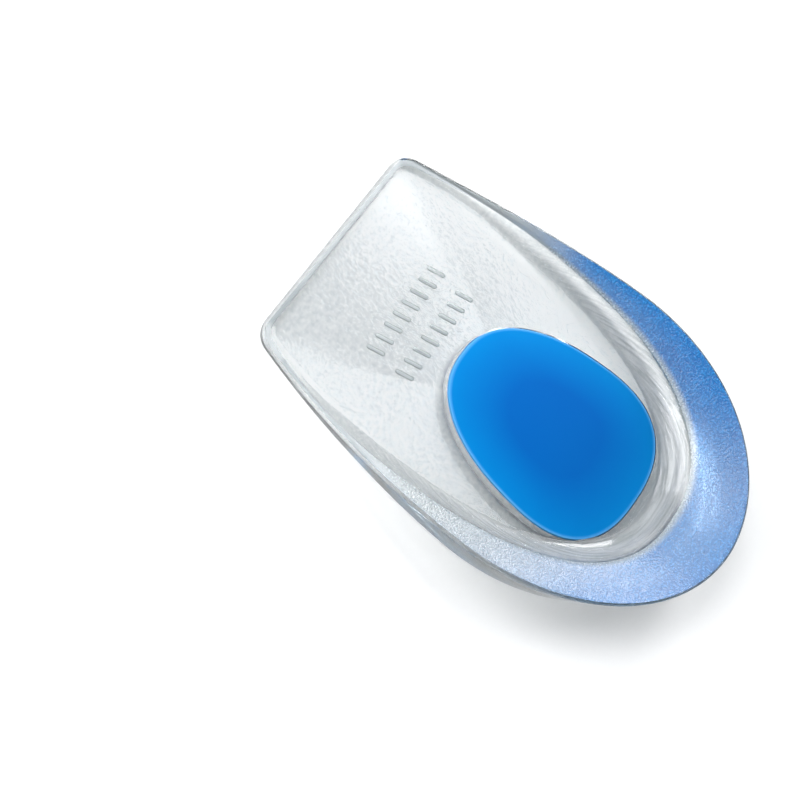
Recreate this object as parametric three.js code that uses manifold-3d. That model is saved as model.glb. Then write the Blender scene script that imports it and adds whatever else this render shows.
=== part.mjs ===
import * as THREE from "three";
import { mergeVertices } from "three/addons/utils/BufferGeometryUtils.js";
import Module from "manifold-3d";

// A clear silicone heel cup with a soft gel pad let into its floor.
// Millimetres. The toe edge lies towards -Y, the heel towards +Y, and the flat sole on z = 0.
// Each surface of the cup is a loft through closed rings of points, all with the same columns.

// Sizes of the cup's outside
const cupLength = 105;
const cupWidth = 70;
const toeWidth = 52;
const toeCornerRadius = 5;
const toeThickness = 2.5;
const heelHeight = 19;
const wallLeanDegrees = 6;
const soleEdgeRadius = 2.5;
const rimEdgeRadius = 0.6;

// Sizes of the cup's inside: the sloping rim band, the hollow wall below its crease, and the floor
const toeLipWidth = 1.6;
const toeLipHeight = 0.3;
const sideBandWidth = 4;
const heelBandWidth = 12;
const toeWallRun = 1;
const sideWallRun = 4.2;
const heelWallRun = 5.2;
const heelFloorThickness = 6.5;
const floorRampLength = 80;

// Sizes of the gel pad and of the recess that holds it
const padLength = 49;
const padWidth = 37;
const padHeelMargin = 2.4;
const padDomeHeight = 1.5;
const padProudHeight = 0.2;
const seatGap = 0.3;
const seatFloorThickness = 1;

// Sizes of the grip marks, two rows of short slanted grooves in the sole
const markRows = 2;
const marksPerRow = 8;
const markLength = 4.4;
const markWidth = 1;
const markDepth = 0.4;
const markPitch = 3.2;
const markRowSpacing = 8;
const markSlantDegrees = 14;
const markDistanceFromToe = 26;

// The cup's outlines in plan. widest is where each is widest, as a share of the way from the toe
// edge to the heel. flare and round are the powers of the curve of its sides and of its heel.
const outlineCurves = {
  rim: { widest: 0.566, flare: 1.85, round: 1.95, corner: 1 },
  crease: { widest: 0.386, flare: 2, round: 2.3, corner: 0.7 },
  foot: { widest: 0.37, flare: 2, round: 2.25, corner: 0.5 },
};
const padCurve = { egg: 0.16, round: 2.44 };
const creaseHeightShare = 0.52;
const hollowPower = 1.6;
const edgeRadiusLimit = 0.4;

// How finely the rings are divided, on one side of the cup
const toeSteps = 4;
const cornerSteps = 4;
const sideSteps = 12;
const heelSteps = 18;
const filletSteps = 3;
const hollowSteps = 5;
const floorSteps = 4;
const domeSteps = 5;

const toeY = -cupLength / 2;
const heelY = cupLength / 2;
const radians = Math.PI / 180;

function smoothShare(share) {
  const t = THREE.MathUtils.clamp(share, 0, 1);
  return t * t * (3 - 2 * t);
}

// Height of the rim, and of the floor inside it, at a distance y along the cup
function rimHeight(y) {
  return toeThickness + (heelHeight - toeThickness) * smoothShare((y - toeY) / cupLength);
}

function floorHeight(y) {
  const toeFloor = toeThickness - toeLipHeight;
  return toeFloor + (heelFloorThickness - toeFloor) * smoothShare((y - toeY) / floorRampLength);
}

// A closed outline of the cup in plan: the straight toe edge, its round corner, and the side that
// runs on into the heel, first on the +X side and then mirrored, anticlockwise from above. All
// outlines have their columns at the same shares of their length, closest together at the heel.
function cupOutline({ toeEnd, heelEnd, toeHalf, half, curve }) {
  const length = heelEnd - toeEnd;
  const halfWidth = (share) => {
    if (share < curve.widest) {
      return half - (half - toeHalf) * (1 - share / curve.widest) ** curve.flare;
    }
    const pastWidest = Math.min(1, (share - curve.widest) / (1 - curve.widest));
    return half * (1 - pastWidest ** curve.round) ** (1 / curve.round);
  };
  const corner = toeCornerRadius * curve.corner;
  const sideAngle = -Math.atan((curve.flare * (half - toeHalf)) / (length * curve.widest));
  const cornerTopShare = (corner * (1 + Math.sin(sideAngle))) / length;
  const cornerX = halfWidth(cornerTopShare) - corner * Math.cos(sideAngle);
  const points = [];
  for (let i = 0; i < toeSteps; i += 1) {
    points.push(new THREE.Vector2((cornerX * i) / toeSteps, toeEnd));
  }
  for (let i = 0; i < cornerSteps; i += 1) {
    const angle = THREE.MathUtils.lerp(-Math.PI / 2, sideAngle, i / cornerSteps);
    points.push(new THREE.Vector2(cornerX + corner * Math.cos(angle), toeEnd + corner * (1 + Math.sin(angle))));
  }
  const { widest, round } = outlineCurves.rim;
  for (let i = 0; i < sideSteps + heelSteps; i += 1) {
    const onSide = i < sideSteps;
    const roundHeel = Math.sin((Math.PI / 2) * ((i - sideSteps) / heelSteps)) ** (2 / round);
    const share = onSide
      ? THREE.MathUtils.lerp(cornerTopShare, widest, i / sideSteps)
      : THREE.MathUtils.lerp(widest, 1, roundHeel);
    points.push(new THREE.Vector2(halfWidth(share), toeEnd + length * share));
  }
  const mirrored = points.slice(1).reverse().map((point) => new THREE.Vector2(-point.x, point.y));
  return [...points, new THREE.Vector2(0, heelEnd), ...mirrored];
}

// The same outline moved inwards, by a distance that may differ from column to column
function movedInwards(outline, distances) {
  return outline.map((point, i) => {
    const before = outline[(i + outline.length - 1) % outline.length];
    const after = outline[(i + 1) % outline.length];
    const along = after.clone().sub(before).normalize();
    return new THREE.Vector2(point.x - along.y * distances[i], point.y + along.x * distances[i]);
  });
}

// A ring of the loft: an outline in plan with a height for each column
function ringAt(outline, height) {
  return outline.map((point, i) => new THREE.Vector3(point.x, point.y, height(point, i)));
}

function between(outlineA, outlineB, share) {
  return outlineA.map((point, i) => point.clone().lerp(outlineB[i], share));
}

// The closed skin through a list of rings, from a point under the first to a point over the last
function loftedSkin(firstPoint, rings, lastPoint) {
  const columns = rings[0].length;
  const points = [firstPoint, ...rings.flat(), lastPoint];
  const last = points.length - 1;
  const vertex = (ring, column) => 1 + ring * columns + (column % columns);
  const faces = [];
  for (let i = 0; i < columns; i += 1) {
    faces.push(0, vertex(0, i + 1), vertex(0, i));
    for (let ring = 0; ring + 1 < rings.length; ring += 1) {
      faces.push(vertex(ring, i), vertex(ring, i + 1), vertex(ring + 1, i + 1));
      faces.push(vertex(ring, i), vertex(ring + 1, i + 1), vertex(ring + 1, i));
    }
    faces.push(vertex(rings.length - 1, i), vertex(rings.length - 1, i + 1), last);
  }
  const geometry = new THREE.BufferGeometry().setFromPoints(points);
  geometry.setIndex(faces);
  return geometry;
}

// Outlines of the cup: its rim, the crease below the rim band, and the foot of the hollow wall
const rimOutline = cupOutline({
  toeEnd: toeY,
  heelEnd: heelY,
  toeHalf: toeWidth / 2,
  half: cupWidth / 2,
  curve: outlineCurves.rim,
});
const creasePlan = {
  toeEnd: toeY + toeLipWidth,
  heelEnd: heelY - heelBandWidth,
  toeHalf: toeWidth / 2 - toeLipWidth,
  half: cupWidth / 2 - sideBandWidth,
  curve: outlineCurves.crease,
};
const creaseOutline = cupOutline(creasePlan);
const footPlan = {
  toeEnd: creasePlan.toeEnd + toeWallRun,
  heelEnd: creasePlan.heelEnd - heelWallRun,
  toeHalf: creasePlan.toeHalf - toeWallRun,
  half: creasePlan.half - sideWallRun,
  curve: outlineCurves.foot,
};
const footOutline = cupOutline(footPlan);
const padCentreY = footPlan.heelEnd - padHeelMargin - padLength / 2;

// The pad's egg-shaped outline, grown by a distance, with one point facing each of the foot's
function padOutline(growth) {
  return footOutline.map((point) => {
    const angle = Math.atan2(point.y - padCentreY, point.x);
    const across = Math.sign(Math.cos(angle)) * Math.abs(Math.cos(angle)) ** (2 / padCurve.round);
    const along = Math.sign(Math.sin(angle)) * Math.abs(Math.sin(angle)) ** (2 / padCurve.round);
    const halfWidth = (padWidth / 2) * (1 + padCurve.egg * along) + growth;
    return new THREE.Vector2(halfWidth * across, padCentreY + (padLength / 2 + growth) * along);
  });
}

// The cup's skin, from the middle of the sole out, up its wall, and in over the rim to its recess
function cupSkin() {
  const rimHeights = rimOutline.map((point) => rimHeight(point.y));
  const radii = rimHeights.map((height) => Math.min(soleEdgeRadius, height * edgeRadiusLimit));
  const rimRadii = rimHeights.map((height) => Math.min(rimEdgeRadius, height * edgeRadiusLimit));
  const lean = Math.tan(wallLeanDegrees * radians);
  const wallInset = (i, z) => (rimHeights[i] - rimRadii[i] - z) * lean;
  const rings = [];
  for (let k = 0; k <= filletSteps; k += 1) {
    const angle = (Math.PI / 2) * (k / filletSteps);
    const insets = radii.map((radius, i) => wallInset(i, radius) + radius * (1 - Math.sin(angle)));
    rings.push(ringAt(movedInwards(rimOutline, insets), (point, i) => radii[i] * (1 - Math.cos(angle))));
  }
  for (let k = 0; k <= filletSteps; k += 1) {
    const angle = (Math.PI / 2) * (k / filletSteps);
    const insets = rimRadii.map((radius) => radius * (1 - Math.cos(angle)));
    const height = (point, i) => rimHeights[i] - rimRadii[i] * (1 - Math.sin(angle));
    rings.push(ringAt(movedInwards(rimOutline, insets), height));
  }
  const creaseHeights = creaseOutline.map((point, i) => {
    const floor = floorHeight(point.y);
    return floor + (rimHeights[i] - floor) * creaseHeightShare;
  });
  for (let k = 0; k <= hollowSteps; k += 1) {
    const share = k / hollowSteps;
    const height = (point, i) => {
      const floor = floorHeight(footOutline[i].y);
      return floor + (creaseHeights[i] - floor) * (1 - share) ** hollowPower;
    };
    rings.push(ringAt(between(creaseOutline, footOutline, share), height));
  }
  const recessOutline = padOutline(seatGap);
  for (let k = 1; k <= floorSteps; k += 1) {
    const share = k / floorSteps;
    rings.push(ringAt(between(footOutline, recessOutline, share), (point) => floorHeight(point.y)));
  }
  rings.push(ringAt(recessOutline, () => seatFloorThickness));
  const soleMiddle = new THREE.Vector3(0, 0, 0);
  const recessMiddle = new THREE.Vector3(0, padCentreY, seatFloorThickness);
  return loftedSkin(soleMiddle, rings, recessMiddle);
}

// The pad's skin: flat below, straight sides, and a crown that follows the slope of the floor
function padSkin() {
  const outline = padOutline(0);
  const middle = outline.map(() => new THREE.Vector2(0, padCentreY));
  const bottom = seatFloorThickness + seatGap;
  const crown = (point, share) => {
    return floorHeight(point.y) + padProudHeight + padDomeHeight * (1 - share ** 2);
  };
  const rings = [ringAt(outline, () => bottom)];
  for (let k = 0; k < domeSteps; k += 1) {
    const share = Math.cos((Math.PI / 2) * (k / domeSteps));
    rings.push(ringAt(between(middle, outline, share), (point) => crown(point, share)));
  }
  const bottomMiddle = new THREE.Vector3(0, padCentreY, bottom);
  const crownMiddle = new THREE.Vector3(0, padCentreY, crown(middle[0], 0));
  return loftedSkin(bottomMiddle, rings, crownMiddle);
}

// One grip mark: a short bar with round ends that reaches from below the sole up into the cup
function gripMark(x, y) {
  const radius = markWidth / 2;
  const straight = markLength / 2 - radius;
  const outline = new THREE.Shape();
  outline.absarc(0, straight, radius, 0, Math.PI, false);
  outline.absarc(0, -straight, radius, Math.PI, 2 * Math.PI, false);
  const bar = new THREE.ExtrudeGeometry(outline, { depth: 2 * markDepth, bevelEnabled: false, curveSegments: 4 });
  bar.rotateZ(-markSlantDegrees * radians);
  bar.translate(x, y, -markDepth);
  return bar;
}

const wasm = await Module();
wasm.setup();

function solidOf(geometry) {
  const bare = geometry.clone();
  bare.deleteAttribute("normal");
  bare.deleteAttribute("uv");
  const merged = mergeVertices(bare);
  return new wasm.Manifold(new wasm.Mesh({
    numProp: 3,
    vertProperties: new Float32Array(merged.attributes.position.array),
    triVerts: new Uint32Array(merged.index.array),
  }));
}

function geometryOf(solid) {
  const { vertProperties, triVerts } = solid.getMesh();
  const geometry = new THREE.BufferGeometry();
  geometry.setAttribute("position", new THREE.BufferAttribute(vertProperties, 3));
  geometry.setIndex(new THREE.BufferAttribute(triVerts, 1));
  geometry.computeVertexNormals();
  return geometry;
}

function namedMesh(name, geometry, finish) {
  const mesh = new THREE.Mesh(geometry, new THREE.MeshStandardMaterial({ metalness: 0, ...finish }));
  mesh.name = name;
  return mesh;
}

function cupShell() {
  let shell = solidOf(cupSkin());
  for (let row = 0; row < markRows; row += 1) {
    for (let i = 0; i < marksPerRow; i += 1) {
      const x = (i - (marksPerRow - 1) / 2) * markPitch;
      const y = toeY + markDistanceFromToe + (row - (markRows - 1) / 2) * markRowSpacing;
      shell = shell.subtract(solidOf(gripMark(x, y)));
    }
  }
  const clearSilicone = { color: "#dce8f3", roughness: 0.2, transparent: true, opacity: 0.5 };
  return namedMesh("cup_shell", geometryOf(shell), clearSilicone);
}

function heelPad() {
  const blueGel = { color: "#0a7fe0", roughness: 0.45 };
  return namedMesh("heel_pad", geometryOf(solidOf(padSkin())), blueGel);
}

const heelCup = new THREE.Group();
heelCup.add(cupShell(), heelPad());

export default heelCup;
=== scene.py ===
import math

import bpy
import numpy as np
from mathutils import Matrix, Vector


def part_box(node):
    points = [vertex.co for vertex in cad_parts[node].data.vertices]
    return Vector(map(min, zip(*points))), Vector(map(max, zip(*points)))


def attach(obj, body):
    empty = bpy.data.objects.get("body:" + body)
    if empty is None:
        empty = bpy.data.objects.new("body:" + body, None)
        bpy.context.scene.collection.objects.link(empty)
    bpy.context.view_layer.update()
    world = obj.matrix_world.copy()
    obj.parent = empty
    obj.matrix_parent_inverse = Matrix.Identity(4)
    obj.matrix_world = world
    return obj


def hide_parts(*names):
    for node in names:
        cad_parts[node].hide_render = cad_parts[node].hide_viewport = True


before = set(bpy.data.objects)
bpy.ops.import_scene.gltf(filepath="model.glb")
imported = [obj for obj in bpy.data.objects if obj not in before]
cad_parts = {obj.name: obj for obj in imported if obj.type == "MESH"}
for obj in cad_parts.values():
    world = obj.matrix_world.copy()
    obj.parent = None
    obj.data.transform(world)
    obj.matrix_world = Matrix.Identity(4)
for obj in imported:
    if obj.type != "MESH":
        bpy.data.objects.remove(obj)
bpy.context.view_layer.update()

# Camera
# The photo looks steeply down on the cup from its +X side, turned so that the toe edge points to
# the upper left. Angles in degrees and lengths in millimetres, about the middle of the cup.
MM = 0.001
CAMERA_AZIMUTH = 61.0
CAMERA_ELEVATION = 66.5
CAMERA_ROLL = 68.2
CAMERA_DISTANCE = 384.0
CAMERA_SIDE_STEP = 23.5
CAMERA_UP_STEP = -1.2
CAMERA_LENS = 81.0

azimuth, elevation, roll = (math.radians(a) for a in (CAMERA_AZIMUTH, CAMERA_ELEVATION, CAMERA_ROLL))
camera_back = Vector((
    math.sin(azimuth) * math.cos(elevation),
    -math.cos(azimuth) * math.cos(elevation),
    math.sin(elevation),
))
level_right = Vector((math.cos(azimuth), math.sin(azimuth), 0))
level_up = camera_back.cross(level_right)
camera_right = level_right * math.cos(roll) + level_up * math.sin(roll)
camera_up = level_up * math.cos(roll) - level_right * math.sin(roll)
camera_step = camera_right * CAMERA_SIDE_STEP + camera_up * CAMERA_UP_STEP
camera_place = camera_back * CAMERA_DISTANCE - camera_step
camera_data = bpy.data.cameras.new("camera")
camera_data.lens = CAMERA_LENS
camera_data.sensor_width = 36.0
camera_data.clip_start = 0.01
camera = bpy.data.objects.new("camera", camera_data)
turn = Matrix((camera_right, camera_up, camera_back)).transposed()
camera.matrix_world = Matrix.Translation(camera_place * MM) @ turn.to_4x4()
bpy.context.collection.objects.link(camera)
bpy.context.scene.camera = camera


def linear(hex_colour, alpha=1.0):
    """An sRGB hex colour as the linear values that shaders take."""
    parts = [int(hex_colour[i:i + 2], 16) / 255 for i in (1, 3, 5)]
    return tuple(p / 12.92 if p <= 0.04045 else ((p + 0.055) / 1.055) ** 2.4 for p in parts) + (alpha,)


def node(tree, kind, settings=None, **links):
    """Adds a node: settings name its properties or sockets, links give a socket its source."""
    made = tree.nodes.new(kind)
    for key, value in (settings or {}).items():
        if isinstance(key, int) or key in made.inputs:
            made.inputs[key].default_value = value
        else:
            setattr(made, key, value)
    for key, source in links.items():
        tree.links.new(source, made.inputs[key.replace("_", " ")])
    return made


def new_material(name):
    """A material with an empty node tree, and its output node."""
    made = bpy.data.materials.new(name)
    made.use_nodes = True
    made.node_tree.nodes.clear()
    return made, made.node_tree, made.node_tree.nodes.new("ShaderNodeOutputMaterial")


# Floor
# A plain white sweep under studio light. It is a stage, so it isn't part of the object.
FLOOR_SIZE = 4.0
floor_mesh = bpy.data.meshes.new("floor")
floor_half = FLOOR_SIZE / 2
floor_mesh.from_pydata(
    [(x * floor_half, y * floor_half, 0) for x, y in ((-1, -1), (1, -1), (1, 1), (-1, 1))],
    [], [(0, 1, 2, 3)],
)
floor = bpy.data.objects.new("floor", floor_mesh)
bpy.context.collection.objects.link(floor)
floor.location.z = -0.0001
paper, tree, output = new_material("matt_white_paper")
coords = node(tree, "ShaderNodeTexCoord")
fibre = node(tree, "ShaderNodeTexNoise", {"Scale": 900.0, "Detail": 3.0}, Vector=coords.outputs["Object"])
tone = node(tree, "ShaderNodeMix", {"data_type": "RGBA", 6: linear("#F4F4F4"), 7: linear("#F8F8F8")})
tree.links.new(fibre.outputs["Fac"], tone.inputs[0])
paper_shader = node(
    tree, "ShaderNodeBsdfPrincipled",
    {"Roughness": 0.85, "Emission Color": linear("#FFFFFF"), "Emission Strength": 0.04},
    Base_Color=tone.outputs[2],
)
tree.links.new(paper_shader.outputs[0], output.inputs["Surface"])
floor_mesh.materials.append(paper)

# Light
# Soft boxes in a room that is bright behind the cup and dark behind the camera and at its horizon,
# so that clear silicone has bright and dark things to bend and mirror. Each box has a direction
# from the cup, a distance, a width and a height in metres, and its power in watts.
SOFTBOXES = (
    ("low_back_softbox", (-0.93, -0.235, 0.3), 1.0, 0.4, 0.46, 7.4),
    ("high_softbox", (-0.538, 0.12, 0.834), 1.1, 0.56, 0.3, 3.7),
    ("low_side_softbox", (0.42, -0.8, 0.29), 1.0, 1.2, 0.42, 16.5),
    ("heel_softbox", (-0.02, -0.54, 0.83), 1.1, 0.56, 0.36, 4.3),
)
for name, direction, distance, width, height, power in SOFTBOXES:
    lamp = bpy.data.lights.new(name, "AREA")
    lamp.shape = "RECTANGLE"
    lamp.size = width
    lamp.size_y = height
    lamp.energy = power
    softbox = bpy.data.objects.new(name, lamp)
    softbox.location = Vector(direction).normalized() * distance
    softbox.rotation_mode = "QUATERNION"
    softbox.rotation_quaternion = softbox.location.to_track_quat("Z", "Y")
    bpy.context.collection.objects.link(softbox)
room = bpy.data.worlds.new("studio_room")
room.use_nodes = True
tree = room.node_tree
tree.nodes.clear()
way = node(tree, "ShaderNodeTexCoord")
rise = node(tree, "ShaderNodeSeparateXYZ", Vector=way.outputs["Generated"])
shade = node(tree, "ShaderNodeValToRGB", Fac=rise.outputs["Z"])
shade.color_ramp.elements[0].position = 0.08
shade.color_ramp.elements[0].color = linear("#40474C")
shade.color_ramp.elements[1].position = 0.9
shade.color_ramp.elements[1].color = linear("#565C62")
for height, colour in ((0.2, "#D2D7DB"), (0.36, "#F2F4F6"), (0.6, "#F2F4F6")):
    shade.color_ramp.elements.new(height).color = linear(colour)
toward_dark = node(tree, "ShaderNodeVectorMath", {"operation": "DOT_PRODUCT", 1: (0.95, 0.3, 0.0)})
tree.links.new(way.outputs["Generated"], toward_dark.inputs[0])
dark_side = node(
    tree, "ShaderNodeMapRange", {"From Min": 0.1, "From Max": 0.5}, Value=toward_dark.outputs["Value"],
)
walls = node(tree, "ShaderNodeMix", {"data_type": "RGBA", 7: linear("#5C6368")})
tree.links.new(dark_side.outputs[0], walls.inputs[0])
tree.links.new(shade.outputs["Color"], walls.inputs[6])
background = node(tree, "ShaderNodeBackground", {"Strength": 0.96}, Color=walls.outputs[2])
node(tree, "ShaderNodeOutputWorld", Surface=background.outputs[0])
bpy.context.scene.world = room
bpy.context.scene.view_settings.view_transform = "Standard"

# Cup shell
# The clear silicone moulding: flat sole, thin square toe edge, a wall that rises to the heel, the
# sloping rim band, and the polished hollow and floor, with the recess that the pad is bonded in.
# Lengths in millimetres. A share is of the way across the surface that it is named for.
TOE_HALF = 26.0
TOE_CORNER = 5.0
TOE_THICKNESS = 2.5
WALL_LEAN = math.radians(6.0)
SOLE_RADIUS = 2.5
RIM_RADIUS = 0.6
EDGE_RADIUS_LIMIT = 0.4
TOE_LIP = 1.6
TOE_LIP_HEIGHT = 0.3
SIDE_BAND = 4.0
HEEL_BAND = 12.0
CREASE_SHARE = 0.52
CREASE_RADIUS = 1.2
TOE_WALL = 1.0
SIDE_WALL = 4.2
HEEL_WALL = 5.2
HOLLOW_POWER = 1.6
HOLLOW_START = 0.1
BAND_STRAIGHT = 0.7
RIDGE = 0.035
RIDGE_PLACE = 0.36
RIDGE_WIDTH = 0.09
FLOOR_THICKNESS = 6.5
FLOOR_RAMP = 80.0
SEAT_FLOOR = 1.0
SEAT_GAP = 0.3
RIM_WIDEST, RIM_FLARE, RIM_ROUND = 0.566, 1.85, 1.95
CREASE_WIDEST, CREASE_FLARE, CREASE_ROUND, CREASE_CORNER = 0.386, 2.0, 2.3, 3.5
FOOT_WIDEST, FOOT_FLARE, FOOT_ROUND, FOOT_CORNER = 0.37, 2.0, 2.25, 2.5
TOE_COLUMNS, CORNER_COLUMNS, SIDE_COLUMNS, HEEL_COLUMNS = 16, 10, 60, 70
SOLE_RINGS, WALL_RINGS, RIM_RINGS, BAND_RINGS = 9, 8, 7, 12
CREASE_RINGS, HOLLOW_RINGS, FLOOR_RINGS, SEAT_RINGS = 6, 28, 14, 6

cup_low, cup_high = (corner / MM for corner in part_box("cup_shell"))
cup_half = (cup_high.x - cup_low.x) / 2
heel_height = cup_high.z
pad_low, pad_high = (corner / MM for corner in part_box("heel_pad"))
pad_centre = (pad_low.y + pad_high.y) / 2
pad_half_length = (pad_high.y - pad_low.y) / 2
PAD_HALF_WIDTH = 18.5
PAD_EGG, PAD_ROUND = 0.16, 2.44


def smooth(share):
    """0 to 1 with level ends."""
    t = np.clip(share, 0, 1)
    return t * t * (3 - 2 * t)


def rim_height(y):
    """Height of the rim, in mm, at a place y along the cup."""
    share = (y - cup_low.y) / (cup_high.y - cup_low.y)
    return TOE_THICKNESS + (heel_height - TOE_THICKNESS) * smooth(share)


def floor_height(y):
    """Height of the cup's inner floor, in mm, at a place y along the cup."""
    toe_floor = TOE_THICKNESS - TOE_LIP_HEIGHT
    return toe_floor + (FLOOR_THICKNESS - toe_floor) * smooth((y - cup_low.y) / FLOOR_RAMP)


def cup_outline(toe_end, heel_end, toe_half, half, widest, flare, roundness, corner):
    """A closed outline in plan, from the middle of the toe edge round by +X, as rows of x and y."""
    length = heel_end - toe_end

    def half_width(share):
        side = half - (half - toe_half) * np.clip(1 - share / widest, 0, 1) ** flare
        past = np.clip((share - widest) / (1 - widest), 0, 1)
        return np.where(share < widest, side, half * (1 - past ** roundness) ** (1 / roundness))

    side_angle = -math.atan(flare * (half - toe_half) / (length * widest))
    corner_top = corner * (1 + math.sin(side_angle)) / length
    corner_x = float(half_width(np.array(corner_top))) - corner * math.cos(side_angle)
    toe = np.linspace(0, corner_x, TOE_COLUMNS, endpoint=False)
    angles = np.linspace(-math.pi / 2, side_angle, CORNER_COLUMNS, endpoint=False)
    turned = np.linspace(0, math.pi / 2, HEEL_COLUMNS, endpoint=False)
    shares = np.concatenate([
        np.linspace(corner_top, RIM_WIDEST, SIDE_COLUMNS, endpoint=False),
        RIM_WIDEST + (1 - RIM_WIDEST) * np.sin(turned) ** (2 / RIM_ROUND),
    ])
    x = np.concatenate([toe, corner_x + corner * np.cos(angles), half_width(shares)])
    y = toe_end + np.concatenate([np.zeros(TOE_COLUMNS), corner * (1 + np.sin(angles)), length * shares])
    right = np.stack([x, y], axis=1)
    left = right[:0:-1] * (-1, 1)
    return np.concatenate([right, [[0, heel_end]], left])


def moved_in(outline, distance):
    """The outline moved inwards by a distance for each of its points."""
    along = np.roll(outline, -1, axis=0) - np.roll(outline, 1, axis=0)
    along /= np.linalg.norm(along, axis=1)[:, None]
    return outline + np.stack([-along[:, 1], along[:, 0]], axis=1) * np.reshape(distance, (-1, 1))


def ring(outline, height):
    """A ring of 3-D points: an outline with its heights."""
    return np.column_stack([outline, np.broadcast_to(height, len(outline))])


def lofted(name, first, rings, last):
    """A closed mesh in metres through rings of equal length, with a point at each end."""
    columns = len(rings[0])
    points = np.concatenate([[first], *rings, [last]]) * MM
    faces = []
    for i in range(columns):
        j = (i + 1) % columns
        faces.append((0, 1 + j, 1 + i))
        for k in range(len(rings) - 1):
            a, b = 1 + k * columns, 1 + (k + 1) * columns
            faces.append((a + i, a + j, b + j, b + i))
        end = 1 + (len(rings) - 1) * columns
        faces.append((end + i, end + j, len(points) - 1))
    mesh = bpy.data.meshes.new(name)
    mesh.from_pydata([tuple(p) for p in points], [], faces)
    mesh.shade_smooth()
    return mesh


toe_y, heel_y = cup_low.y, cup_high.y
crease_ends = (toe_y + TOE_LIP, heel_y - HEEL_BAND)
rim = cup_outline(toe_y, heel_y, TOE_HALF, cup_half, RIM_WIDEST, RIM_FLARE, RIM_ROUND, TOE_CORNER)
crease = cup_outline(
    *crease_ends, TOE_HALF - TOE_LIP, cup_half - SIDE_BAND,
    CREASE_WIDEST, CREASE_FLARE, CREASE_ROUND, CREASE_CORNER,
)
foot = cup_outline(
    crease_ends[0] + TOE_WALL, crease_ends[1] - HEEL_WALL,
    TOE_HALF - TOE_LIP - TOE_WALL, cup_half - SIDE_BAND - SIDE_WALL,
    FOOT_WIDEST, FOOT_FLARE, FOOT_ROUND, FOOT_CORNER,
)


def pad_outline(growth):
    """The pad's egg-shaped outline, grown by a distance, with one point for each of the foot's."""
    angle = np.arctan2(foot[:, 1] - pad_centre, foot[:, 0])
    across = np.sign(np.cos(angle)) * np.abs(np.cos(angle)) ** (2 / PAD_ROUND)
    along = np.sign(np.sin(angle)) * np.abs(np.sin(angle)) ** (2 / PAD_ROUND)
    half_width = PAD_HALF_WIDTH * (1 + PAD_EGG * along) + growth
    return np.stack([half_width * across, pad_centre + (pad_half_length + growth) * along], axis=1)


rim_z = rim_height(rim[:, 1])
sole_radii = np.minimum(SOLE_RADIUS, rim_z * EDGE_RADIUS_LIMIT)
rim_radii = np.minimum(RIM_RADIUS, rim_z * EDGE_RADIUS_LIMIT)
rings = []
for turn_share in np.linspace(0, 1, SOLE_RINGS):
    quarter = turn_share * math.pi / 2
    inset = (rim_z - rim_radii - sole_radii) * math.tan(WALL_LEAN) + sole_radii * (1 - math.sin(quarter))
    rings.append(ring(moved_in(rim, inset), sole_radii * (1 - math.cos(quarter))))
wall_foot, wall_top = sole_radii, rim_z - rim_radii
for share in np.linspace(0, 1, WALL_RINGS)[1:-1]:
    z = wall_foot + (wall_top - wall_foot) * share
    rings.append(ring(moved_in(rim, (rim_z - rim_radii - z) * math.tan(WALL_LEAN)), z))
for turn_share in np.linspace(0, 1, RIM_RINGS):
    quarter = turn_share * math.pi / 2
    z = rim_z - rim_radii * (1 - math.sin(quarter))
    rings.append(ring(moved_in(rim, rim_radii * (1 - math.cos(quarter))), z))
band_first = len(rings) - 1
crease_floor = floor_height(crease[:, 1])
crease_ring = ring(crease, crease_floor + (rim_z - crease_floor) * CREASE_SHARE)
band_top = rings[-1]
for share in np.linspace(0, BAND_STRAIGHT, BAND_RINGS)[1:]:
    rings.append(band_top + (crease_ring - band_top) * share)
band_last = len(rings) + CREASE_RINGS - 1
foot_z = floor_height(foot[:, 1])


def hollow_ring(share):
    """A ring of the polished wall, from the crease at 0 to the wall's foot at 1."""
    wall_rise = crease_ring[:, 2] - foot_z
    z = foot_z + wall_rise * (1 - share) ** HOLLOW_POWER
    z += RIDGE * wall_rise * math.exp(-((share - RIDGE_PLACE) / RIDGE_WIDTH) ** 2)
    return ring(crease + (foot - crease) * share, z)


band_way = crease_ring - band_top
band_width = np.linalg.norm(band_way, axis=1)
band_end = crease_ring - band_way * (CREASE_RADIUS / band_width)[:, None].clip(max=1 - BAND_STRAIGHT)
hollow_start = hollow_ring(HOLLOW_START)
for t in np.linspace(0, 1, CREASE_RINGS):
    rings.append(band_end * (1 - t) ** 2 + crease_ring * 2 * t * (1 - t) + hollow_start * t ** 2)
for share in np.linspace(HOLLOW_START, 1, HOLLOW_RINGS)[1:]:
    rings.append(hollow_ring(share))
hollow_last = len(rings) - 1
recess = pad_outline(SEAT_GAP)
for share in np.linspace(0, 1, FLOOR_RINGS)[1:]:
    plan = foot + (recess - foot) * share
    rings.append(ring(plan, floor_height(plan[:, 1])))
for share in np.linspace(0, 1, SEAT_RINGS)[1:]:
    rings.append(ring(recess, floor_height(recess[:, 1]) * (1 - share) + SEAT_FLOOR * share))
shell_mesh = lofted("cup_shell_moulding", (0, 0, 0), rings, (0, pad_centre, SEAT_FLOOR))
shell = bpy.data.objects.new("cup_shell_moulding", shell_mesh)
bpy.context.collection.objects.link(shell)

# How far round and across the moulding each point lies, in metres, for patterns that follow its
# surface. Round is counted from the middle of the toe on both sides, so the patterns have no seam.
columns = len(rim)
round_steps = np.linalg.norm(np.roll(rim, -1, axis=0) - rim, axis=1)
round_way = np.concatenate([[0], np.cumsum(round_steps)]) * MM
round_way = np.minimum(round_way, round_way[-1] - round_way)
across_way = np.zeros((len(rings), columns))
for k in range(1, len(rings)):
    across_way[k] = across_way[k - 1] + np.linalg.norm(rings[k] - rings[k - 1], axis=1) * MM
surface_map = shell_mesh.uv_layers.new(name="round_and_across")

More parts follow.
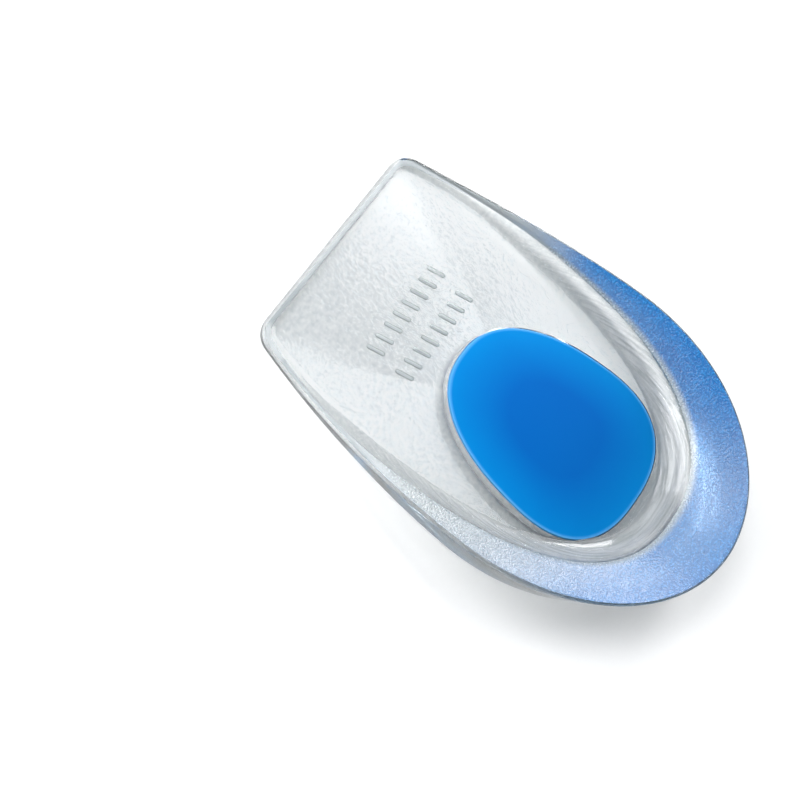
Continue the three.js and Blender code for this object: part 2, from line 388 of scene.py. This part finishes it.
# How much blue the silicone holds at each point: the rim band, from the arch back to the heel, and
# the top of the wall under it. Where the blue starts and where it is full are places along the cup,
# for its -X and its +X side: the +X side's band is made paler as a painted sheen, and the band is
# also made paler at the heel as a painted sheen and clear at the crease as a painted highlight. The
# other shares say where the outer wall, the polished hollow and the frosting of the mould's face
# are; the outer wall's share carries painted shade. Starts and runs are in mm.
TINT_START, TINT_FULL = (-30.0, -12.0), (-4.0, 47.0)
SIDE_FADE = 14.0
# Painted highlight: the blue fades to none over the last part of the band before the crease
CREASE_PAINTED_HIGHLIGHT = 0.3
TINT_FIRST, TINT_MOST, TINT_AT_RIM = 0.35, 0.8, 0.2
# Painted sheen: the band's blue is thinned towards the heel, standing for a silvery sheen there
HEEL_PAINTED_SHEEN, HEEL_PAINTED_SHEEN_START, HEEL_PAINTED_SHEEN_RUN = 0.2, 28.0, 20.0
FROST_START, FROST_RUN = 2.5, 3.5
WALL_TINT, WALL_TINT_START, WALL_TINT_RUN, WALL_TINT_DEPTH = 0.75, 5.0, 30.0, 8.0
SOLE_FADE, RIM_FADE, TALL_WALL = 3.0, 1.5, 6.0
HOLLOW_MOST = 0.8
tint = np.zeros(len(shell_mesh.vertices))
wall_painted_shade_share = np.zeros(len(shell_mesh.vertices))
hollow_share = np.zeros(len(shell_mesh.vertices))
frost_share = np.zeros(len(shell_mesh.vertices))
for k, level in enumerate(rings):
    here = slice(1 + k * columns, 1 + (k + 1) * columns)
    if band_first <= k:
        depth = np.clip((band_last - k) / (band_last - band_first), 0, 1)
        # Painted sheen: on the +X side the blue starts and is full further towards the heel, so that side's
        # band is paler
        side = smooth((level[:, 0] + SIDE_FADE) / (2 * SIDE_FADE))
        start, full = (ends[0] + (ends[1] - ends[0]) * side for ends in (TINT_START, TINT_FULL))
        along = smooth((level[:, 1] - start) / (full - start))
        # Painted highlight along the crease: the blue fades out there
        painted_crease_highlight = smooth(depth / CREASE_PAINTED_HIGHLIGHT)
        # Painted sheen at the heel: less blue there
        painted_heel_sheen = 1 - HEEL_PAINTED_SHEEN * smooth((level[:, 1] - HEEL_PAINTED_SHEEN_START) / HEEL_PAINTED_SHEEN_RUN)
        strength = TINT_FIRST * (1 - along) + TINT_MOST * along + TINT_AT_RIM * depth
        tint[here] = painted_heel_sheen * along * painted_crease_highlight * strength
        frost_share[here] = smooth((band_width - FROST_START) / FROST_RUN)
    else:
        under_rim = rim_z - level[:, 2]
        tall = smooth((rim_z - TOE_THICKNESS) / TALL_WALL)
        # Where the outer wall's painted shade lies: faded out at the sole, under the rim and on low walls
        wall_painted_shade_share[here] = smooth(level[:, 2] / SOLE_FADE) * np.clip(under_rim / RIM_FADE, 0, 1) * tall
        blue_wall = smooth((level[:, 1] - WALL_TINT_START) / WALL_TINT_RUN)
        tint[here] = WALL_TINT * blue_wall * smooth(1 - under_rim / WALL_TINT_DEPTH)
    if band_last < k <= hollow_last:
        down = (k - band_last) / (hollow_last - band_last)
        tall = smooth((crease_ring[:, 2] - foot_z) / TALL_WALL)
        hollow_share[here] = HOLLOW_MOST * tall * smooth((1 - down) * 3) * smooth(down * 8)
point_shares = {
    "blue_tint_and_painted_sheen": tint, "wall_painted_shade_share": wall_painted_shade_share, "hollow_share": hollow_share, "frost_share": frost_share,
}
for name, values in point_shares.items():
    shell_mesh.attributes.new(name, "FLOAT", "POINT").data.foreach_set("value", values)
for face in shell_mesh.polygons:
    corners = [(*divmod(v - 1, columns), loop) for v, loop in zip(face.vertices, face.loop_indices)]
    for row, column, loop in corners:
        row = min(max(row, 0), len(rings) - 1)
        surface_map.data[loop].uv = (round_way[column], across_way[row, column])
    if len(corners) == 4 and all(band_first <= row <= band_last for row, _, _ in corners):
        face.material_index = 1

# Clear addition-cure silicone rubber, from a polished mould: colourless, greyed a little by its
# volume over long paths, and bluish below the band. The tall outer wall has painted shade: its
# colour is darkened to grey-green. The silicone has a fine mottle from the mould, a little
# milkiness, and faint ripples along the hollow's wall, whose colour has painted reflections in
# light and grey streaks.
clear, tree, output = new_material("polished_clear_silicone")
coords = node(tree, "ShaderNodeTexCoord")
stretched = node(tree, "ShaderNodeMapping", {"Scale": (90.0, 1500.0, 1.0)}, Vector=coords.outputs["UV"])
streaks = node(tree, "ShaderNodeTexNoise", {"Scale": 1.0, "Detail": 3.0}, Vector=stretched.outputs[0])
mottle = node(tree, "ShaderNodeTexNoise", {"Scale": 1100.0, "Detail": 3.0}, Vector=coords.outputs["Object"])
patches = node(tree, "ShaderNodeTexNoise", {"Scale": 90.0, "Detail": 2.0}, Vector=coords.outputs["Object"])
haze = node(tree, "ShaderNodeMapRange", {"To Min": 0.0, "To Max": 0.08}, Value=patches.outputs["Fac"])
fine_bump = node(
    tree, "ShaderNodeBump", {"Strength": 0.1, "Distance": 0.0002}, Height=mottle.outputs["Fac"],
)
hollow = node(tree, "ShaderNodeAttribute", {"attribute_name": "hollow_share"})
rippled = node(tree, "ShaderNodeMapRange", {"To Max": 0.5}, Value=hollow.outputs["Fac"])
bump = node(
    tree, "ShaderNodeBump", {"Distance": 0.0003},
    Height=streaks.outputs["Fac"], Normal=fine_bump.outputs[0], Strength=rippled.outputs[0],
)
wall = node(tree, "ShaderNodeAttribute", {"attribute_name": "wall_painted_shade_share"})
flecks = node(tree, "ShaderNodeValToRGB", Fac=mottle.outputs["Fac"])
flecks.color_ramp.elements[0].position = 0.3
flecks.color_ramp.elements[0].color = linear("#E9EDEF")
flecks.color_ramp.elements[1].position = 0.62
flecks.color_ramp.elements[1].color = linear("#FDFEFE")
# Painted reflections: light and grey streaks along the hollow's wall, in its colour
painted_streak_reflections = node(tree, "ShaderNodeValToRGB", Fac=streaks.outputs["Fac"])
painted_streak_reflections.color_ramp.elements[0].position = 0.38
painted_streak_reflections.color_ramp.elements[0].color = linear("#B4BABA")
painted_streak_reflections.color_ramp.elements[1].position = 0.58
painted_streak_reflections.color_ramp.elements[1].color = linear("#FDFEFE")
inside = node(tree, "ShaderNodeMix", {"data_type": "RGBA"})
tree.links.new(hollow.outputs["Fac"], inside.inputs[0])
tree.links.new(flecks.outputs["Color"], inside.inputs[6])
tree.links.new(painted_streak_reflections.outputs["Color"], inside.inputs[7])
# Painted shade: the tall outer wall's colour is mixed towards dark grey-green
painted_wall_shade = node(tree, "ShaderNodeMix", {"data_type": "RGBA", 7: linear("#8A918D")})
tree.links.new(wall.outputs["Fac"], painted_wall_shade.inputs[0])
tree.links.new(inside.outputs[2], painted_wall_shade.inputs[6])
# The blue share holds pigment and also painted sheen and a painted crease highlight
blue_share = node(tree, "ShaderNodeAttribute", {"attribute_name": "blue_tint_and_painted_sheen"})
bluish = node(tree, "ShaderNodeMix", {"data_type": "RGBA", 7: linear("#5E9FD8")})
tree.links.new(blue_share.outputs["Fac"], bluish.inputs[0])
tree.links.new(painted_wall_shade.outputs[2], bluish.inputs[6])
cloudy = node(tree, "ShaderNodeMath", {"operation": "MAXIMUM"})
tree.links.new(hollow.outputs["Fac"], cloudy.inputs[0])
tree.links.new(wall.outputs["Fac"], cloudy.inputs[1])
milk = node(tree, "ShaderNodeMapRange", {"To Min": 1.0, "To Max": 0.78}, Value=cloudy.outputs[0])
gloss = node(
    tree, "ShaderNodeBsdfPrincipled", {"IOR": 1.41},
    Base_Color=bluish.outputs[2], Roughness=haze.outputs[0], Normal=bump.outputs[0],
    Transmission_Weight=milk.outputs[0],
)
depth_grey = node(tree, "ShaderNodeVolumeAbsorption", {"Color": linear("#DCE1E1"), "Density": 20.0})
tree.links.new(gloss.outputs[0], output.inputs["Surface"])
tree.links.new(depth_grey.outputs[0], output.inputs["Volume"])
shell_mesh.materials.append(clear)

# The same silicone with blue pigment near the rim, frosted by a grained mould face: satin, with a
# sparkle from its fine grain, and clearer where the blue thins out towards the toe. Its blue share
# also holds painted light: clear towards the crease for a painted highlight, and paler on the +X
# side and at the heel for a painted sheen.
# The grain is drawn at about 0.4 mm, coarser than the real one, so that it shows.
frosted, tree, output = new_material("frosted_blue_silicone")
coords = node(tree, "ShaderNodeTexCoord")
grain = node(tree, "ShaderNodeTexNoise", {"Scale": 2300.0, "Detail": 1.0}, Vector=coords.outputs["Object"])
cloud = node(tree, "ShaderNodeTexNoise", {"Scale": 70.0, "Detail": 3.0}, Vector=coords.outputs["Object"])
speckle = node(tree, "ShaderNodeMapRange", {"From Min": 0.35, "From Max": 0.65}, Value=grain.outputs["Fac"])
uneven = node(tree, "ShaderNodeMix", {"data_type": "FLOAT", 0: 0.5})
tree.links.new(cloud.outputs["Fac"], uneven.inputs[2])
tree.links.new(speckle.outputs[0], uneven.inputs[3])
pigment = node(tree, "ShaderNodeMix", {"data_type": "RGBA", 6: linear("#004C98"), 7: linear("#0A84CC")})
tree.links.new(uneven.outputs[0], pigment.inputs[0])
# Painted light rides in the blue share: paler +X side and heel as painted sheen, clear crease edge as
# painted highlight
share = node(tree, "ShaderNodeAttribute", {"attribute_name": "blue_tint_and_painted_sheen"})
tinted = node(tree, "ShaderNodeMix", {"data_type": "RGBA", 6: linear("#B6BEC1")})
tree.links.new(share.outputs["Fac"], tinted.inputs[0])
tree.links.new(pigment.outputs[2], tinted.inputs[7])
clearness = node(tree, "ShaderNodeMapRange", {"To Min": 0.62, "To Max": 0.3}, Value=share.outputs["Fac"])
frosting = node(tree, "ShaderNodeAttribute", {"attribute_name": "frost_share"})
rough = node(
    tree, "ShaderNodeMapRange", {"From Min": 0.35, "From Max": 0.65, "To Min": 0.08, "To Max": 0.32},
    Value=grain.outputs["Fac"],
)
frost = node(tree, "ShaderNodeMix", {"data_type": "FLOAT", 2: 0.08})
tree.links.new(frosting.outputs["Fac"], frost.inputs[0])
tree.links.new(rough.outputs[0], frost.inputs[3])
bump = node(
    tree, "ShaderNodeBump", {"Distance": 0.0002},
    Height=grain.outputs["Fac"], Strength=frosting.outputs["Fac"],
)
satin = node(
    tree, "ShaderNodeBsdfPrincipled", {"IOR": 1.41, "Coat Weight": 0.25, "Coat Roughness": 0.3},
    Base_Color=tinted.outputs[2], Transmission_Weight=clearness.outputs[0],
    Roughness=frost.outputs[0], Normal=bump.outputs[0],
)
tree.links.new(satin.outputs[0], output.inputs["Surface"])
shell_mesh.materials.append(frosted)

# Two rows of slanted grip marks, moulded into the sole near the toe. They are made as one cutting
# piece by Geometry Nodes and taken out of the moulding. Lengths in metres. Each mark is a bead
# drawn out along its length, and the stretch makes its round section deep enough to catch light.
MARK_ROWS = 2
MARKS_PER_ROW = 8
MARK_LENGTH = 0.0044
MARK_WIDTH = 0.001
MARK_DEPTH = 0.0004
MARK_PITCH = 0.0032
MARK_ROW_SPACING = 0.008
MARK_SLANT = math.radians(14.0)
MARK_STRETCH = 2.5
MARKS_MIDDLE = toe_y * MM + 0.026
SHARP_ANGLE = math.radians(38.0)

# The same silicone against the spark-eroded face of the marks' tooling: clear, but fine and matt
etched, tree, output = new_material("matt_clear_silicone")
coords = node(tree, "ShaderNodeTexCoord")
pits = node(tree, "ShaderNodeTexNoise", {"Scale": 3000.0, "Detail": 2.0}, Vector=coords.outputs["Object"])
bump = node(tree, "ShaderNodeBump", {"Strength": 0.2, "Distance": 0.0001}, Height=pits.outputs["Fac"])
matt = node(
    tree, "ShaderNodeBsdfPrincipled",
    {"Base Color": linear("#E6EBEC"), "IOR": 1.41, "Transmission Weight": 0.6, "Roughness": 0.3},
    Normal=bump.outputs[0],
)
tree.links.new(matt.outputs[0], output.inputs["Surface"])

mark_tree = bpy.data.node_groups.new("grip_mark_rows", "GeometryNodeTree")
mark_inputs = {
    "Pitch": MARK_PITCH, "Row Spacing": MARK_ROW_SPACING, "Length": MARK_LENGTH,
    "Width": MARK_WIDTH, "Depth": MARK_DEPTH, "Slant": MARK_SLANT,
}
mark_counts = {"Rows": MARK_ROWS, "Marks Per Row": MARKS_PER_ROW}
sockets = {}
for names, kind in ((mark_inputs, "NodeSocketFloat"), (mark_counts, "NodeSocketInt")):
    for name in names:
        made = mark_tree.interface.new_socket(name, in_out="INPUT", socket_type=kind)
        sockets[name] = made.identifier
mark_tree.interface.new_socket("Geometry", in_out="OUTPUT", socket_type="NodeSocketGeometry")
given = mark_tree.nodes.new("NodeGroupInput")


def worked(operation, first, second):
    """The output of a maths node of the tree, on two sources."""
    made = node(mark_tree, "ShaderNodeMath", {"operation": operation})
    for slot_number, source in enumerate((first, second)):
        if isinstance(source, (int, float)):
            made.inputs[slot_number].default_value = source
        else:
            mark_tree.links.new(source, made.inputs[slot_number])
    return made.outputs[0]


marks_less_one = worked("SUBTRACT", given.outputs["Marks Per Row"], 1)
rows_less_one = worked("SUBTRACT", given.outputs["Rows"], 1)
row_width = worked("MULTIPLY", given.outputs["Pitch"], marks_less_one)
rows_depth = worked("MULTIPLY", given.outputs["Row Spacing"], rows_less_one)
places = node(
    mark_tree, "GeometryNodeMeshGrid", Size_X=row_width, Size_Y=rows_depth,
    Vertices_X=given.outputs["Marks Per Row"], Vertices_Y=given.outputs["Rows"],
)
bead = node(mark_tree, "GeometryNodeMeshUVSphere", {"Segments": 32, "Rings": 12, "Radius": 0.5})
spot = node(mark_tree, "GeometryNodeInputPosition")
axes = node(mark_tree, "ShaderNodeSeparateXYZ", Vector=spot.outputs[0])
half_straight = worked("MULTIPLY", worked("SUBTRACT", given.outputs["Length"], given.outputs["Width"]), 0.5)
pulled = worked("ADD", worked("MULTIPLY", axes.outputs["Y"], given.outputs["Width"]),
                worked("MULTIPLY", worked("SIGN", axes.outputs["Y"], 0), half_straight))
widened = worked("MULTIPLY", axes.outputs["X"], given.outputs["Width"])
deepened = worked("MULTIPLY", worked("MULTIPLY", axes.outputs["Z"], given.outputs["Depth"]), MARK_STRETCH)
capsule_place = node(mark_tree, "ShaderNodeCombineXYZ", X=widened, Y=pulled, Z=deepened)
capsule = node(
    mark_tree, "GeometryNodeSetPosition", Geometry=bead.outputs["Mesh"], Position=capsule_place.outputs[0],
)
slant = node(mark_tree, "ShaderNodeCombineXYZ", Z=given.outputs["Slant"])
marks = node(
    mark_tree, "GeometryNodeInstanceOnPoints", Points=places.outputs["Mesh"],
    Instance=capsule.outputs[0], Rotation=slant.outputs[0],
)
moved = node(
    mark_tree, "GeometryNodeTransform", {"Translation": (0.0, MARKS_MIDDLE, 0.0)},
    Geometry=marks.outputs[0],
)
real = node(mark_tree, "GeometryNodeRealizeInstances", Geometry=moved.outputs[0])
finish = node(mark_tree, "GeometryNodeSetMaterial", {"Material": etched}, Geometry=real.outputs[0])
node(mark_tree, "NodeGroupOutput", Geometry=finish.outputs[0])

cutter = bpy.data.objects.new("grip_mark_cutter", bpy.data.meshes.new("grip_mark_cutter"))
bpy.context.collection.objects.link(cutter)
rows_modifier = cutter.modifiers.new("grip_mark_rows", "NODES")
rows_modifier.node_group = mark_tree
for name, value in {**mark_inputs, **mark_counts}.items():
    rows_modifier[sockets[name]] = value
cut = shell.modifiers.new("grip_marks", "BOOLEAN")
cut.operation = "DIFFERENCE"
cut.solver = "EXACT"
cut.material_mode = "TRANSFER"
cut.object = cutter
evaluated = shell.evaluated_get(bpy.context.evaluated_depsgraph_get())
marked_mesh = bpy.data.meshes.new_from_object(evaluated)
shell.modifiers.clear()
shell.data = marked_mesh
bpy.data.objects.remove(cutter)
bpy.data.meshes.remove(shell_mesh)
marked_mesh.name = "cup_shell_moulding"
marked_mesh.set_sharp_from_angle(angle=SHARP_ANGLE)
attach(shell, "root")
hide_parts("cup_shell")

# Heel pad
# The soft blue gel insert, cast in its own mould and bonded into the cup's recess: flat below,
# straight sides, an edge a little proud of the floor, and a low crown under the heel.
PAD_DOME = 1.5
PAD_PROUD = 0.2
PAD_RINGS = 24
outline = pad_outline(0.0)
middle = np.array([[0.0, pad_centre]])
pad_rings = [ring(outline, pad_low.z)]
for share in np.cos(np.linspace(0, math.pi / 2, PAD_RINGS, endpoint=False)):
    plan = middle + (outline - middle) * share
    pad_rings.append(ring(plan, floor_height(plan[:, 1]) + PAD_PROUD + PAD_DOME * (1 - share ** 2)))
crown = floor_height(pad_centre) + PAD_PROUD + PAD_DOME
pad_mesh = lofted("heel_pad_gel", (0, pad_centre, pad_low.z), pad_rings, (0, pad_centre, crown))
pad = bpy.data.objects.new("heel_pad_gel", pad_mesh)
bpy.context.collection.objects.link(pad)
edge = np.zeros(len(pad_mesh.vertices))
for k, pad_ring in enumerate(pad_rings):
    reach = np.linalg.norm(pad_ring[:, :2] - middle, axis=1) / np.linalg.norm(outline - middle, axis=1)
    edge[1 + k * len(outline):1 + (k + 1) * len(outline)] = reach
pad_mesh.attributes.new("edge_share", "FLOAT", "POINT").data.foreach_set("value", edge)

# Soft polyurethane gel, blue right through: satin, deep in the middle and brighter towards its edge,
# where less of it lies under the surface, with a painted highlight: pale blue round its edge and sides
gel, tree, output = new_material("soft_blue_gel")
coords = node(tree, "ShaderNodeTexCoord")
cloud = node(tree, "ShaderNodeTexNoise", {"Scale": 55.0, "Detail": 3.0}, Vector=coords.outputs["Object"])
share = node(tree, "ShaderNodeAttribute", {"attribute_name": "edge_share"})
fade = node(tree, "ShaderNodeValToRGB", Fac=share.outputs["Fac"])
fade.color_ramp.elements[0].position = 0.45
fade.color_ramp.elements[0].color = linear("#0055A3")
fade.color_ramp.elements[1].position = 0.97
fade.color_ramp.elements[1].color = linear("#0079BE")
# Painted highlight: a pale blue line along the pad's edge
painted_edge_highlight = fade.color_ramp.elements.new(1.0)
painted_edge_highlight.color = linear("#5CA6DC")
drift = node(tree, "ShaderNodeMix", {"data_type": "RGBA", 7: linear("#005EA5")})
tree.links.new(fade.outputs["Color"], drift.inputs[6])
some = node(tree, "ShaderNodeMapRange", {"To Min": 0.0, "To Max": 0.5}, Value=cloud.outputs["Fac"])
tree.links.new(some.outputs[0], drift.inputs[0])
bump = node(tree, "ShaderNodeBump", {"Strength": 0.1, "Distance": 0.0002}, Height=cloud.outputs["Fac"])
satin = node(
    tree, "ShaderNodeBsdfPrincipled",
    {"IOR": 1.41, "Specular IOR Level": 0.05, "Roughness": 0.55,
     "Subsurface Weight": 0.15, "Subsurface Radius": (0.001, 0.002, 0.004)},
    Base_Color=drift.outputs[2], Normal=bump.outputs[0],
)
tree.links.new(satin.outputs[0], output.inputs["Surface"])
pad_mesh.materials.append(gel)
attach(pad, "root")
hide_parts("heel_pad")
